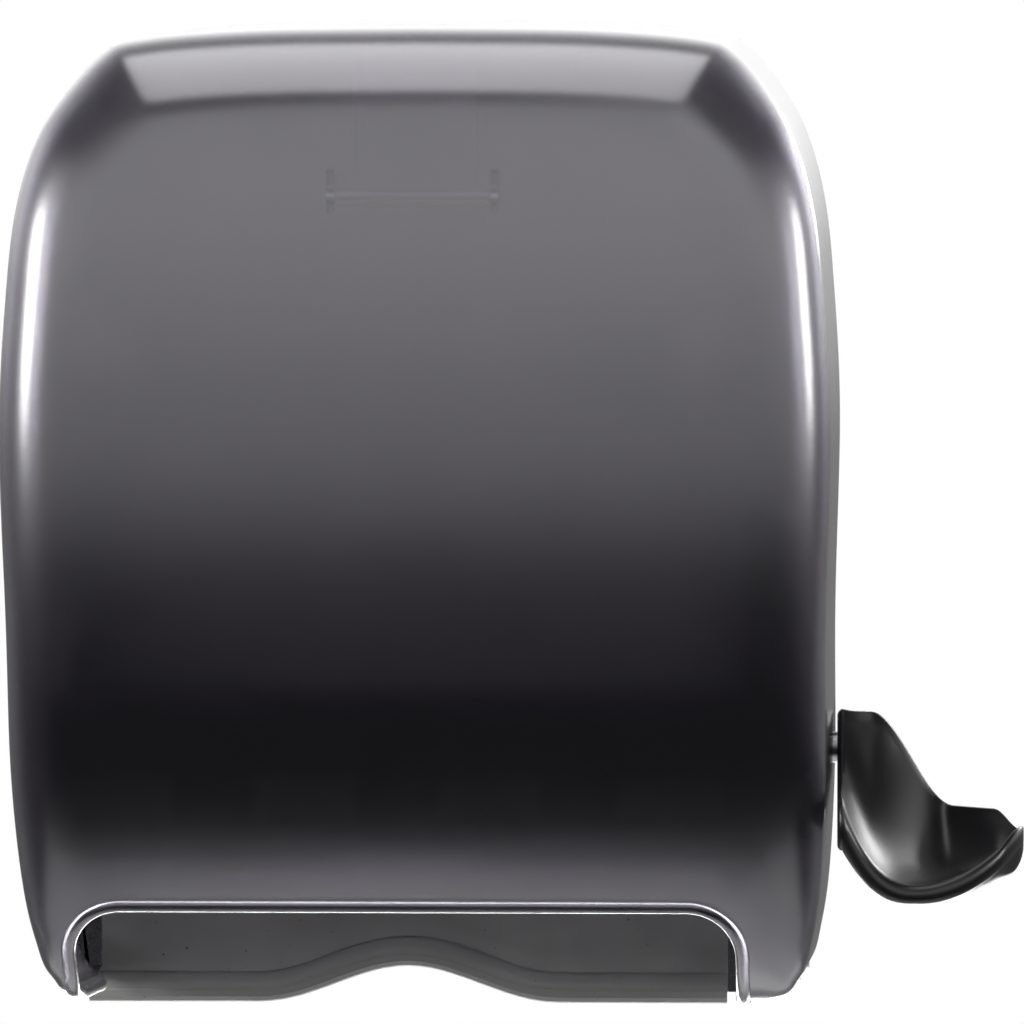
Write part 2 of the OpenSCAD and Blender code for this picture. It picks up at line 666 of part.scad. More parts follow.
// Dished blade: its rear edge falls in an S from the arm to the tip, its front lip dips and thickens
blade_x0 = hub_x + 0.4;
blade_len = lever_reach - blade_x0;
blade_steps = 22;
blade_cuts = 8;
low_u = 0.4;
function rear_edge(u) = [
    -138 - 22 * ease((u - 0.45) / 0.55),
    67.3 + 29 * (1 - ease((u - 0.16) / 0.46)) - 6 * ease((u - 0.84) / 0.16)
];
function front_edge(u) = [
    -194 + 16 * pow(max(u - 0.45, 0) / 0.55, 2) + 8 * pow(max(low_u - u, 0) / low_u, 2),
    46.8 + (u > low_u ? 12.5 * pow((u - low_u) / 0.5, 2) : 21.5 * pow((low_u - u) / low_u, 2.5))
];
// Radius of the front lip
function lip_r(u) = lever_t / 2 * (u > low_u ? 0.85 + 0.5 * (u - low_u) : 0.85 + 1.5 * pow((low_u - u) / low_u, 2));
// How full the blade is: it rounds off towards the tip
function fullness(u) = u > 0.86 ? sqrt(max(1 - pow((u - 0.86) / 0.14, 2), 0)) * 0.88 + 0.12 : 1;
// Section of the blade as depths and heights, with an extra rim all round
function blade_loop(u, rim = 0) =
    let (
        f = fullness(u),
        mid = (rear_edge(u) + front_edge(u)) / 2,
        a = mid + (rear_edge(u) - mid) * f,
        b = mid + (front_edge(u) - mid) * f,
        d = (b - a) / norm(b - a),
        n = [-d[1], d[0]],
        sag = 9 * f,
        ra = lever_t / 2 * (0.5 + 0.4 * f) + rim,
        rb = lip_r(u) * (0.5 + 0.5 * f) + rim,
        line = [for (k = [0 : blade_cuts]) let (v = k / blade_cuts) a + (b - a) * v + n * (sag * 4 * v * (1 - v))],
        r = [for (k = [0 : blade_cuts]) ra + (rb - ra) * pow(k / blade_cuts, 2)]
    )
    concat(
        [for (k = [0 : blade_cuts]) line[k] - n * r[k]],
        [for (w = [45, 90, 135]) b + rb * (sin(w) * d - cos(w) * n)],
        [for (k = [blade_cuts : -1 : 0]) line[k] + n * r[k]],
        [for (w = [45, 90, 135]) a - ra * (sin(w) * d - cos(w) * n)]
    );
function blade_ring(i) =
    let (u = i / blade_steps)
    [for (p = blade_loop(u)) [blade_x0 + u * blade_len, p[0], p[1]]];
// Triangles that close one end: a strip along the dish, then a fan round each lip
function blade_cap(base, flip) =
    let (
        c = blade_cuts,
        n = 2 * c + 8,
        strip = [for (k = [0 : c - 1]) each [[k, k + 1, n - 5 - k], [k, n - 5 - k, n - 4 - k]]],
        fans = [for (e = [c, 2 * c + 4], k = [1 : 3]) [e, e + k, (e + k + 1) % n]]
    )
    [for (t = concat(strip, fans)) [base + t[flip ? 2 : 0], base + t[1], base + t[flip ? 0 : 2]]];
module blade() {
    loops = [for (i = [0 : blade_steps]) blade_ring(i)];
    n = len(loops[0]);
    points = [for (l = loops) each l];
    polyhedron(points, concat(
        blade_cap(0, false),
        [for (i = [0 : blade_steps - 1], j = [0 : n - 1])
            let (a = i * n + j, b = i * n + (j + 1) % n)
            each [[a, a + n, b + n], [a, b + n, b]]],
        blade_cap(blade_steps * n, true)
    ));
}
module lever() color([0.06, 0.06, 0.065]) difference() {
    union() {
        side_plate(hub_x, arm_w) {
            translate([-lever_y, lever_z]) circle(d = boss_d);
            // Bar from the boss into the blade
            polygon([
                [-lever_y, lever_z + boss_d / 2], [-lever_y, lever_z - boss_d / 2], [-130, 65],
                [-159.7, 72.4], [-146.4, 83.1], [-139.5, 93.4]
            ]);
        }
        // Cheek that closes the blade's inner end
        side_plate(hub_x, cheek_w) polygon(blade_loop(0, cheek_rim));
        blade();
    }
    x_rod(hub_x - 1, hub_x + lever_socket, lever_y, lever_z, lever_shaft_d);
    x_rod(hub_x - 1, hub_x + arm_w + 1, lever_y, lever_z, 4);
}

/* Roll arms and core hubs */
arm_t = 3;
arm_base = 36;
arm_pin_d = 3;
arm_pivot_y = 12;
lug_t = 4;
arm_x = right_in - arm_t / 2 - 0.5;
hub_in = 14;
stub_d = 12;
module arm_outline(root_y) {
    difference() {
        union() {
            translate([-roll_y, roll_z]) circle(r = 17);
            polygon([
                [-root_y, roll_z - arm_base / 2], [-root_y, roll_z + arm_base / 2],
                [-root_y - 20, roll_z + arm_base / 2], [-roll_y, roll_z + 12],
                [-roll_y, roll_z - 12], [-root_y - 20, roll_z - arm_base / 2]
            ]);
        }
        // Lightening holes
        for (y = [root_y + 26 : 18 : roll_y - 24]) translate([-y, roll_z]) circle(d = 10);
    }
}
stub_len = hub_in - 3;
module left_roll_arm() color([0.12, 0.12, 0.13]) {
    side_plate(left_in, arm_t) arm_outline(pan_t + 0.1);
    x_rod(left_in + arm_t - 0.5, left_in + arm_t + stub_len, roll_y, roll_z, stub_d);
}
module right_roll_arm() color([0.12, 0.12, 0.13]) difference() {
    union() {
        side_plate(arm_x - arm_t / 2, arm_t) arm_outline(arm_pivot_y);
        translate([arm_x, -arm_pivot_y, roll_z - arm_base / 2]) cylinder(h = arm_base, d = 8);
        x_rod(arm_x - arm_t / 2 - stub_len, arm_x, roll_y, roll_z, stub_d);
    }
    translate([arm_x, -arm_pivot_y, roll_z - arm_base]) cylinder(h = 2 * arm_base, d = arm_pin_d + 2 * run_fit);
}
module roll_arm_pin() color([0.75, 0.76, 0.78]) {
    low = roll_z - arm_base / 2 - lug_t - end_gap;
    translate([arm_x, -arm_pivot_y, low]) cylinder(h = arm_base + 2 * (lug_t + end_gap), d = arm_pin_d);
    translate([arm_x, -arm_pivot_y, roll_z + arm_base / 2 + lug_t + end_gap]) cylinder(h = 1.5, d = 6);
}
// A hub tapers into the roll's core and stops at a flange
module core_hub(x, dir) {
    translate([x, -roll_y, roll_z]) rotate([0, dir * 90, 0]) difference() {
        union() {
            cylinder(h = 2, d = hub_d + 14);
            translate([0, 0, 2]) cylinder(h = hub_in - 2, d1 = hub_d, d2 = hub_d - 5);
        }
        translate([0, 0, -1]) cylinder(h = stub_len + 1 + end_gap, d = stub_d + 2 * run_fit);
        for (a = [0 : 60 : 300]) rotate([0, 0, a]) translate([hub_d / 2 - 5.5, 0, 4]) cylinder(h = hub_in, d = 5);
    }
}
module left_core_hub() color([0.14, 0.14, 0.15]) core_hub(left_in + arm_t + end_gap, 1);
module right_core_hub() color([0.14, 0.14, 0.15]) core_hub(arm_x - arm_t / 2 - end_gap, -1);

/* Cover */
hinge_boss_d = 12;
slot_gap = 1.5;
slot_r = norm([lever_y - hinge_y, lever_z - hinge_z]);
slot_half = lever_shaft_d / 2 + slot_gap;
slot_start = atan2(lever_z - hinge_z, -(lever_y - hinge_y));
slot_end = acos((hinge_y + 4) / slot_r);
strap_half = 19;
foot_half = 23;
latch_y = case_d - 14;
latch_z = full_level + 62;
latch_pin_d = 3;
key_y = 115;

// Slot that lets the lever's shaft pass as the cover swings about its pins
module lever_slot() {
    side_plate(half_w - 20, 30) translate([-hinge_y, hinge_z]) {
        rotate(slot_start) translate([slot_r, 0]) circle(r = slot_half);
        difference() {
            circle(r = slot_r + slot_half, $fn = 96);
            circle(r = slot_r - slot_half, $fn = 96);
            // Only the stretch from the shaft back to the cover's rear edge stays
            rotate(slot_start) translate([-2 * slot_r, 0]) square([4 * slot_r, 2 * slot_r]);
            rotate(slot_end) translate([-2 * slot_r, -2 * slot_r]) square([4 * slot_r, 2 * slot_r]);
        }
    }
}
// Wavy keyhole in the crown
module key_slot() {
    steps = 24;
    span = 26;
    function mid(s) = 1.1 * cos(3 * 360 * s);
    translate([0, -key_y, case_h - 12]) linear_extrude(20) polygon(concat(
        [for (i = [0 : steps]) [span * (i / steps - 0.5), mid(i / steps) + 0.7]],
        [for (i = [steps : -1 : 0]) [span * (i / steps - 0.5), mid(i / steps) - 0.7]]
    ));
}
module mouth() {
    front_plate(-1, case_d + 10) {
        translate([-mouth_left, -20]) square([mouth_left + mouth_right, 20 + mouth_h - mouth_r]);
        translate([-mouth_left + mouth_r, 0]) square([mouth_left + mouth_right - 2 * mouth_r, mouth_h]);
        for (x = [-mouth_left + mouth_r, mouth_right - mouth_r])
            translate([x, mouth_h - mouth_r]) circle(r = mouth_r);
    }
}
// Tall ribs beside the latch strap, and the ears that hold its pin
rib_t = 1.5;
rib_half = strap_half + 1;
rib_rear = 30;
rib_front = 0.78 * case_d;
module cover_ribs() {
    for (s = [-1, 1]) {
        translate([s * (rib_half + rib_t / 2) - rib_t / 2, 0, 0]) side_plate(0, rib_t) polygon([
            [-rib_rear, crest_z], [-rib_rear, case_h - cover_wall / 2 - crown_fall * rib_rear / case_d],
            [-rib_front, case_h - cover_wall / 2 - crown_fall * rib_front / case_d], [-rib_front, crest_z]
        ]);
        translate([s * (foot_half + 2) - 1.25, 0, 0]) side_plate(0, 2.5) polygon([
            [-latch_y + 5, latch_z + 5], [-latch_y + 5, latch_z - 5],
            [-front_depth(latch_z) + 1.5, latch_z - 7], [-front_depth(latch_z) + 1.5, latch_z + 7]
        ]);
    }
}
module cover() color([0.42, 0.41, 0.43]) difference() {
    union() {
        case_shell();
        cover_ribs();
        for (s = [-1, 1])
            x_rod(s * (ear_out + (s > 0 ? 0.4 : 3.6)), s * (ear_out + (s > 0 ? 3.6 : 0.4)), hinge_y, hinge_z, hinge_boss_d);
    }
    mouth();
    lever_slot();
    key_slot();
    // The floor of the feet clears the pan's ears as the cover swings
    translate([-ear_out - 0.4, -hinge_y - 14, -1]) cube([2 * ear_out + 0.8, hinge_y + 20, mouth_h]);
    // The rear foot corner is round about the pins
    side_plate(-half_w - 1, case_w + 2) difference() {
        translate([-hinge_y, -1]) square([hinge_y + 1, hinge_z + 1]);
        translate([-hinge_y, hinge_z]) circle(r = hinge_z - 0.5);
    }
    x_rod(-ear_out - 3, -ear_out, hinge_y, hinge_z, ear_pin_d + 2 * run_fit);
    x_rod(ear_out, ear_out + 3, hinge_y, hinge_z, ear_pin_d + 2 * run_fit);
    x_rod(-foot_half - 8, foot_half + 8, latch_y, latch_z, latch_pin_d);
}
module cover_pins() color([0.75, 0.76, 0.78]) for (s = [-1, 1])
    x_rod(s > 0 ? ear_out - ear_t - 0.5 : -ear_out - 2.8, s > 0 ? ear_out + 2.8 : -ear_out + ear_t + 0.5,
        hinge_y, hinge_z, ear_pin_d);

/* Latch strap: pinned at the front, hooked behind the pan's lip */
hook_y = pan_rim_d - rim_t - 1.5;
module latch_strap() color([0.30, 0.30, 0.31]) difference() {
    union() {
        translate([-strap_half, 0, 0]) side_plate(0, 2 * strap_half) polygon([
            [-hook_y + 4, strap_z], [-hook_y - 24, strap_z + 1], [-hook_y - 56, crest_z],
            [-case_d + 42, crest_z - 1], [-case_d + 27, crest_z - 7],
            [-latch_y + 3.5, crest_z - 20], [-latch_y + 2, latch_z],
            [-latch_y, latch_z], [-latch_y + 1, crest_z - 20],
            [-case_d + 25, crest_z - 5.2], [-case_d + 41.5, crest_z + strap_t - 1],
            [-hook_y - 55, crest_z + strap_t], [-hook_y - 23, strap_z + strap_t + 1],
            [-hook_y - 4, strap_z + strap_t], [-hook_y, strap_z + strap_t],
            [-hook_y, rim_top - lip_drop - 0.4], [-hook_y + 2, rim_top - lip_drop - 0.4],
            [-hook_y + 4, strap_z + strap_t]
        ]);
        translate([-foot_half, -latch_y - 3, latch_z - 3]) cube([2 * foot_half, 6, 6]);
    }
    x_rod(-foot_half - 1, foot_half + 1, latch_y, latch_z, latch_pin_d + 2 * run_fit);
}
module latch_pin() color([0.75, 0.76, 0.78])
    x_rod(-foot_half - 3.2, foot_half + 3.2, latch_y, latch_z, latch_pin_d);

/* Screws that hold the frames, the housing and the bearing plate */
module screw(x, y, z, dir, length) {
    translate([x, -y, z]) rotate([0, dir * 90, 0]) {
        cylinder(h = length, d = frame_screw_d);
        translate([0, 0, -1.8]) cylinder(h = 1.8, d = 6);
    }
}
module frame_screws() color([0.7, 0.7, 0.72]) {
    for (z = flange_levels) {
        screw(left_out, pan_t + 7, z, 1, frame_t + tab_t);
        screw(right_out, pan_t + 7, z, -1, frame_t + tab_t);
    }
    for (z = housing_levels) {
        screw(left_out, housing_screw_y, z, 1, frame_t + housing_t);
        screw(right_out, housing_screw_y, z, -1, frame_t + housing_t);
    }
    for (z = [post_low, post_high]) screw(plate_x - 6, pan_t + 4, z, 1, plate_t + 6);
}

// Everything is placed with the wall screws' centre at the origin
module placed() {
    translate([0, 0, -screw_z]) children();
}

placed() back_pan();
placed() left_side_frame();
placed() right_side_frame();
placed() roller_housing();
placed() paper_guide();
placed() tear_bar();
placed() feed_shaft();
placed() feed_sleeves();
placed() feed_bushings();
placed() feed_clips();
placed() clutch_pinion();
placed() clutch_cage();
placed() pinch_cradle();
placed() pinch_shaft();
placed() pinch_sleeves();
placed() cradle_shaft();
placed() pinch_springs();
placed() lever();
placed() lever_shaft();
placed() lever_bushings();
placed() lever_bearing_plate();
placed() sector_gear();
placed() lever_spring();
placed() lever_stop();
placed() lever_screw();
placed() left_roll_arm();
placed() right_roll_arm();
placed() roll_arm_pin();
placed() left_core_hub();
placed() right_core_hub();
placed() cover();
placed() cover_pins();
placed() latch_strap();
placed() latch_pin();
placed() frame_screws();
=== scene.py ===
"""Looks of the lever towel dispenser: smoked cover, dished black lever, speckled pan.

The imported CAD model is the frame. The case and the lever are drawn again here on a finer grid, from
the same curves as the CAD source, in millimetres above the feet, and the pan is a trimmed copy.
grid_point() takes them into the frame's metres.
"""
import json
import math

import bmesh
import bpy
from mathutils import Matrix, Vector


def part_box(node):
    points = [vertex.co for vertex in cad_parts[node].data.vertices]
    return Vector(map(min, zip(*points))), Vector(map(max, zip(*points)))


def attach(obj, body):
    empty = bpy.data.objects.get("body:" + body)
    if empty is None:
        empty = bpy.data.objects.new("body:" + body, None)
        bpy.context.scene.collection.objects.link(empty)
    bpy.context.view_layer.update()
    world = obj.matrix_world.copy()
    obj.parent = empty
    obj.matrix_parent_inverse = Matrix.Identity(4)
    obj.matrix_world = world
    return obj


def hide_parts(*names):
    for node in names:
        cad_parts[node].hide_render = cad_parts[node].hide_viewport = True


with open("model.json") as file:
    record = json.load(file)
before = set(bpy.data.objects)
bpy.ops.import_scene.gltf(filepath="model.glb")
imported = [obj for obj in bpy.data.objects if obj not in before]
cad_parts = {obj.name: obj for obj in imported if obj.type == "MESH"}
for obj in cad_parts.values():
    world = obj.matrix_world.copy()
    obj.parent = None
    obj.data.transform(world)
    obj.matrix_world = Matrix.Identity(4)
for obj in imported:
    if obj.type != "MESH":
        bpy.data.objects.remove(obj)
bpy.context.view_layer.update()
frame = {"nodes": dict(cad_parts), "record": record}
nodes = frame["nodes"]
MM = 0.001

# ---------------------------------------------------------------- sizes taken from the frame
cover_low, cover_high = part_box("cover")
lever_low, lever_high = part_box("lever")
FEET_Z = cover_low.z
HALF_W = (cover_high.x - cover_low.x) / 2 / MM
CASE_H = (cover_high.z - cover_low.z) / MM
HALF_H = CASE_H / 2
CASE_D = -cover_low.y / MM
COVER_REAR = -cover_high.y / MM
COVER_WALL = 3.0
DRAFT = 3.25
CROWN_FALL = 7.0
CORNER_X, CORNER_Z = 21.5, 24.5
CORNER_START_TOP, CORNER_START_SIDE = 0.84, 0.93
SIDE_FROM, SIDE_SPAN = 0.72, 0.26
TUCK_LOW, TUCK_HIGH, FULL_LEVEL = 86.0, 12.0, 200.0
MOUTH_LEFT, MOUTH_RIGHT, MOUTH_H, MOUTH_R = 110.5, 99.5, 40.0, 17.0
BEAD_R, BEAD_SINK, BEAD_OUT = 2.4, 1.5, 0.6
HINGE_Y, HINGE_Z, HINGE_BOSS_R, PIN_BORE_D = 15.0, 12.0, 4.6, 5.16
EAR_OUT = HALF_W - 12.6
LEVER_Y, LEVER_Z, LEVER_SHAFT_D = 44.0, 84.0, 10.0
SLOT_GAP = 1.5
KEY_Y, KEY_SPAN, KEY_HALF, KEY_WAVE = 115.0, 26.0, 0.7, 1.1
LATCH_Y, LATCH_Z, LATCH_PIN_D = CASE_D - 14, FULL_LEVEL + 62, 3.0
STRAP_HALF, FOOT_HALF = 19.0, 23.0
CREST_Z = CASE_H - 12
RIB_T, RIB_REAR, RIB_FRONT = 1.5, 30.0, 0.78 * CASE_D
HUB_X = lever_low.x / MM
ARM_W, BOSS_R, SOCKET, SCREW_D = 8.0, 9.8, 6.0, 4.0
CHEEK_RIM, CHEEK_REACH = 0.8, 1.2
CHEEK_EDGE = ((-0.4, -1.0), (-0.2, -0.3), (0.3, 0.4), (1.0, CHEEK_RIM))
LEVER_T, LOW_U = 7.0, 0.4
REAR_Y, REAR_SWEEP, REAR_Z, REAR_RISE, TIP_FALL = 138, 22, 67.3, 29, 6
FRONT_Y, FRONT_Z, FRONT_RISE = 194, 46.8, 12.5
ROUND_U, ROUND_SPAN = 0.86, 0.14
DISH_DEPTH = 9
BLADE_X0 = HUB_X + 0.4
BLADE_LEN = lever_high.x / MM - BLADE_X0
BAY_X, ROLL_W = -8.0, 203.0
WAVE_X, WAVE_H, WAVE_W, LIP_D = BAY_X - 4, 12.0, 50.0, 8.0
FOOT_RIGHT = BAY_X + ROLL_W / 2
PANE_Y, PANE_T, PANE_LOW = HINGE_Y + 15.0, 2.0, 1.0
GUARD_REAR, GUARD_FRONT, GUARD_WALL = 60, 141, 2
LEG_TOP = 8.2


def grid_point(x, y, z):
    """A point of the case, in mm with y from the wall towards the front, in the frame's metres."""
    return Vector((x * MM, -y * MM, FEET_Z + z * MM))


# ---------------------------------------------------------------- mesh helpers
WELD = 0.00002  # metres between points that count as one


def mesh_object(name, verts, faces):
    mesh = bpy.data.meshes.new(name)
    mesh.from_pydata([tuple(v) for v in verts], [], faces)
    mesh.validate()
    obj = bpy.data.objects.new(name, mesh)
    bpy.context.scene.collection.objects.link(obj)
    return obj


def face_outwards(obj):
    bm = bmesh.new()
    bm.from_mesh(obj.data)
    bmesh.ops.recalc_face_normals(bm, faces=bm.faces)
    bm.to_mesh(obj.data)
    bm.free()


def smooth(obj, degrees):
    for p in obj.data.polygons:
        p.use_smooth = True
    obj.data.set_sharp_from_angle(angle=math.radians(degrees))


def prism(name, outline, axis, start, end):
    """A closed outline of (a, b) pairs carried from start to end along an axis of grid_point.

    Along "x" the pairs are (y, z); along "y" they are (x, z); along "z" they are (x, y)."""
    place = {
        "x": lambda p, t: grid_point(t, p[0], p[1]),
        "y": lambda p, t: grid_point(p[0], t, p[1]),
        "z": lambda p, t: grid_point(p[0], p[1], t),
    }[axis]
    n = len(outline)
    verts = [place(p, t) for t in (start, end) for p in outline]
    faces = [tuple(range(n)), tuple(range(2 * n - 1, n - 1, -1))]
    faces += [(i, n + i, n + (i + 1) % n, (i + 1) % n) for i in range(n)]
    obj = mesh_object(name, verts, faces)
    face_outwards(obj)
    return obj


def skin_faces(first, rings, n):
    """Quads between neighbouring rings of n vertices, which start at vertex number first."""
    return [
        (
            first + i * n + j,
            first + i * n + (j + 1) % n,
            first + (i + 1) * n + (j + 1) % n,
            first + (i + 1) * n + j,
        )
        for i in range(rings - 1)
        for j in range(n)
    ]


def capped_bar(name, verts, rings, n):
    """A bar of rings of n vertices, closed at both ends."""
    last = (rings - 1) * n
    caps = [tuple(range(n)), tuple(range(last, last + n))]
    made = mesh_object(name, verts, caps + skin_faces(0, rings, n))
    face_outwards(made)
    return made


def circle_outline(a, b, radius, count=48):
    turns = [2 * math.pi * i / count for i in range(count)]
    return [(a + radius * math.cos(w), b + radius * math.sin(w)) for w in turns]


def apply_modifiers(obj):
    graph = bpy.context.evaluated_depsgraph_get()
    made = bpy.data.meshes.new_from_object(obj.evaluated_get(graph))
    old = obj.data
    obj.modifiers.clear()
    obj.data = made
    bpy.data.meshes.remove(old)


def combine(obj, tool, operation):
    step = obj.modifiers.new("cut", "BOOLEAN")
    step.operation = operation
    step.solver = "EXACT"
    step.object = tool
    bpy.context.view_layer.update()
    apply_modifiers(obj)
    bpy.data.objects.remove(tool)


def soften_edges(obj, width_mm, degrees, segments):
    """Rounds the edges whose faces meet at more than this angle."""
    bm = bmesh.new()
    bm.from_mesh(obj.data)
    bmesh.ops.remove_doubles(bm, verts=bm.verts, dist=WELD)
    bmesh.ops.dissolve_degenerate(bm, dist=WELD, edges=bm.edges)
    layers = bm.edges.layers.float
    layer = layers.get("bevel_weight_edge") or layers.new("bevel_weight_edge")
    for edge in bm.edges:
        sharp = len(edge.link_faces) == 2 and edge.calc_face_angle(0) > math.radians(degrees)
        edge[layer] = 1.0 if sharp else 0.0
    bm.to_mesh(obj.data)
    bm.free()
    bevel = obj.modifiers.new("edges", "BEVEL")
    bevel.limit_method = "WEIGHT"
    bevel.width = width_mm * MM
    bevel.segments = segments
    apply_modifiers(obj)


# ---------------------------------------------------------------- materials
NOISE_SPAN = (0.3, 0.7)  # where most of a noise's values lie
DRIFT_MM, HAZE_MM = 30.0, 1.6
SMOKE_IOR, FROST_MM = 1.49, 0.0008
VIOLET_GLEAM = (0.95, 0.91, 1.0)
COAT_IOR, COAT_ROUGHNESS = 1.7, 0.25
SPECKS = ((7.0, 0.075, 0.45), (3.4, 0.085, 0.7))  # cell in mm, reach in cells, share left bare


def new_material(name):
    made = bpy.data.materials.new(name)
    made.use_nodes = True
    tree = made.node_tree
    return made, tree, tree.nodes["Principled BSDF"]


def noise(tree, scale_mm, detail, stretch=None):
    """Noise in the object's own coordinates, whose features are about scale_mm across."""
    where = tree.nodes.new("ShaderNodeTexCoord")
    made = tree.nodes.new("ShaderNodeTexNoise")
    made.inputs["Scale"].default_value = 1 / (scale_mm * MM)
    made.inputs["Detail"].default_value = detail
    if stretch:
        turn = tree.nodes.new("ShaderNodeMapping")
        turn.inputs["Scale"].default_value = stretch
        tree.links.new(where.outputs["Object"], turn.inputs["Vector"])
        tree.links.new(turn.outputs["Vector"], made.inputs["Vector"])
    else:
        tree.links.new(where.outputs["Object"], made.inputs["Vector"])
    return made.outputs["Fac"]


def spread(tree, value, low, high, to_low, to_high):
    step = tree.nodes.new("ShaderNodeMapRange")
    for name, number in (("From Min", low), ("From Max", high), ("To Min", to_low), ("To Max", to_high)):
        step.inputs[name].default_value = number
    tree.links.new(value, step.inputs["Value"])
    return step.outputs["Result"]


def mix_colour(tree, share, a, b):
    step = tree.nodes.new("ShaderNodeMix")
    step.data_type = "RGBA"
    tree.links.new(share, step.inputs["Factor"])
    for socket, colour in ((step.inputs["A"], a), (step.inputs["B"], b)):
        if isinstance(colour, tuple):
            socket.default_value = (*colour, 1)
        else:
            tree.links.new(colour, socket)
    return step.outputs["Result"]


def add_bump(tree, shader, height, depth_mm):
    bump = tree.nodes.new("ShaderNodeBump")
    bump.inputs["Distance"].default_value = depth_mm * MM
    bump.inputs["Strength"].default_value = 1.0
    tree.links.new(height, bump.inputs["Height"])
    tree.links.new(bump.outputs["Normal"], shader.inputs["Normal"])


def plastic(name, dark, light, rough, grain_mm, grain_depth_mm, ior=1.5):
    """Moulded plastic: fine grain, and a slow drift of tone and gloss."""
    made, tree, shader = new_material(name)
    drift = noise(tree, DRIFT_MM, 2.0)
    tone = mix_colour(tree, spread(tree, drift, *NOISE_SPAN, 0, 1), dark, light)
    tree.links.new(tone, shader.inputs["Base Color"])
    tree.links.new(spread(tree, drift, *NOISE_SPAN, rough[0], rough[1]), shader.inputs["Roughness"])
    shader.inputs["IOR"].default_value = ior
    add_bump(tree, shader, noise(tree, grain_mm, 4.0), grain_depth_mm)
    return made


def metal(name, dark, light, rough, stretch, grain_mm=0.8):
    """Drawn or rolled metal with fine lines along one axis."""
    made, tree, shader = new_material(name)
    lines = noise(tree, grain_mm, 5.0, stretch)
    tree.links.new(mix_colour(tree, lines, dark, light), shader.inputs["Base Color"])
    tree.links.new(spread(tree, lines, *NOISE_SPAN, rough[0], rough[1]), shader.inputs["Roughness"])
    shader.inputs["Metallic"].default_value = 1.0
    add_bump(tree, shader, lines, 0.02)
    return made


def smoked(name, tint, rough, clear, gloss=0.0):
    """Smoke tinted translucent plastic with a lightly frosted face. gloss is the share of a clear coat."""
    made, tree, shader = new_material(name)
    haze = noise(tree, HAZE_MM, 2.0)
    drift = noise(tree, 2 * DRIFT_MM, 2.0)
    paler = tuple(c * 1.12 for c in tint)
    tone = mix_colour(tree, spread(tree, drift, *NOISE_SPAN, 0, 1), tint, paler)
    tree.links.new(tone, shader.inputs["Base Color"])
    tree.links.new(spread(tree, haze, 0.35, 0.65, rough[0], rough[1]), shader.inputs["Roughness"])
    shader.inputs["Transmission Weight"].default_value = clear
    shader.inputs["IOR"].default_value = SMOKE_IOR
    shader.inputs["Specular Tint"].default_value = (*VIOLET_GLEAM, 1)
    shader.inputs["Coat Weight"].default_value = gloss
    shader.inputs["Coat IOR"].default_value = COAT_IOR
    shader.inputs["Coat Roughness"].default_value = COAT_ROUGHNESS
    add_bump(tree, shader, haze, FROST_MM)
    return made


def speckled(name, ground, speck):
    """Recycled grey plastic with scattered dark specks."""
    made, tree, shader = new_material(name)
    where = tree.nodes.new("ShaderNodeTexCoord")
    cloud = noise(tree, 14.0, 3.0)
    darker = tuple(c * 0.9 for c in ground)
    colour = mix_colour(tree, spread(tree, cloud, *NOISE_SPAN, 0, 1), ground, darker)
    for cell_mm, reach, rare in SPECKS:
        cells = tree.nodes.new("ShaderNodeTexVoronoi")
        cells.inputs["Scale"].default_value = 1 / (cell_mm * MM)
        tree.links.new(where.outputs["Object"], cells.inputs["Vector"])
        dot = spread(tree, cells.outputs["Distance"], reach * 0.6, reach, 1, 0)
        parts = tree.nodes.new("ShaderNodeSeparateColor")
        tree.links.new(cells.outputs["Color"], parts.inputs["Color"])
        chosen = spread(tree, parts.outputs["Red"], rare, rare + 0.3, 0, 0.85)
        both = tree.nodes.new("ShaderNodeMath")
        both.operation = "MULTIPLY"
        tree.links.new(dot, both.inputs[0])
        tree.links.new(chosen, both.inputs[1])
        colour = mix_colour(tree, both.outputs["Value"], colour, speck)
    tree.links.new(colour, shader.inputs["Base Color"])
    tree.links.new(spread(tree, cloud, *NOISE_SPAN, 0.42, 0.52), shader.inputs["Roughness"])
    add_bump(tree, shader, noise(tree, 0.7, 4.0), 0.02)
    return made


SMOKE = smoked("smoked_plastic", (0.3, 0.284, 0.335), (0.235, 0.265), 0.995, 1.0)
STRAP_SMOKE = smoked("strap_plastic", (0.7, 0.69, 0.73), (0.06, 0.1), 0.98)
PAN = speckled("speckled_grey", (0.34, 0.34, 0.333), (0.025, 0.025, 0.028))
ARM_GREY = plastic("arm_grey", (0.42, 0.42, 0.425), (0.47, 0.47, 0.475), (0.4, 0.5), 0.6, 0.03)
# A much darker copy of the smoked plastic, for the feet's inner walls: painted shade
SMOKE_PAINTED_SHADE = smoked("smoke_painted_shade", (0.04, 0.038, 0.044), (0.2, 0.28), 0.6)
BLACK = plastic("black_structure", (0.006, 0.006, 0.007), (0.011, 0.011, 0.012), (0.42, 0.55), 0.6, 0.03)
LEVER = plastic("lever_grain", (0.006, 0.006, 0.007), (0.01, 0.01, 0.011), (0.29, 0.34), 0.35, 0.03, ior=1.45)
ACETAL = plastic("acetal", (0.62, 0.60, 0.54), (0.72, 0.70, 0.64), (0.28, 0.36), 1.2, 0.01)
SLEEVE = plastic("roller_rubber", (0.10, 0.10, 0.105), (0.16, 0.16, 0.165), (0.6, 0.75), 0.5, 0.05)
RUBBER = plastic("stop_rubber", (0.012, 0.012, 0.012), (0.02, 0.02, 0.02), (0.65, 0.8), 0.7, 0.05)
STEEL = metal("drawn_steel", (0.42, 0.43, 0.45), (0.6, 0.61, 0.63), (0.24, 0.36), (1, 12, 12))
SPRING = metal("spring_wire", (0.38, 0.38, 0.40), (0.55, 0.55, 0.57), (0.25, 0.35), (8, 8, 8), 0.4)
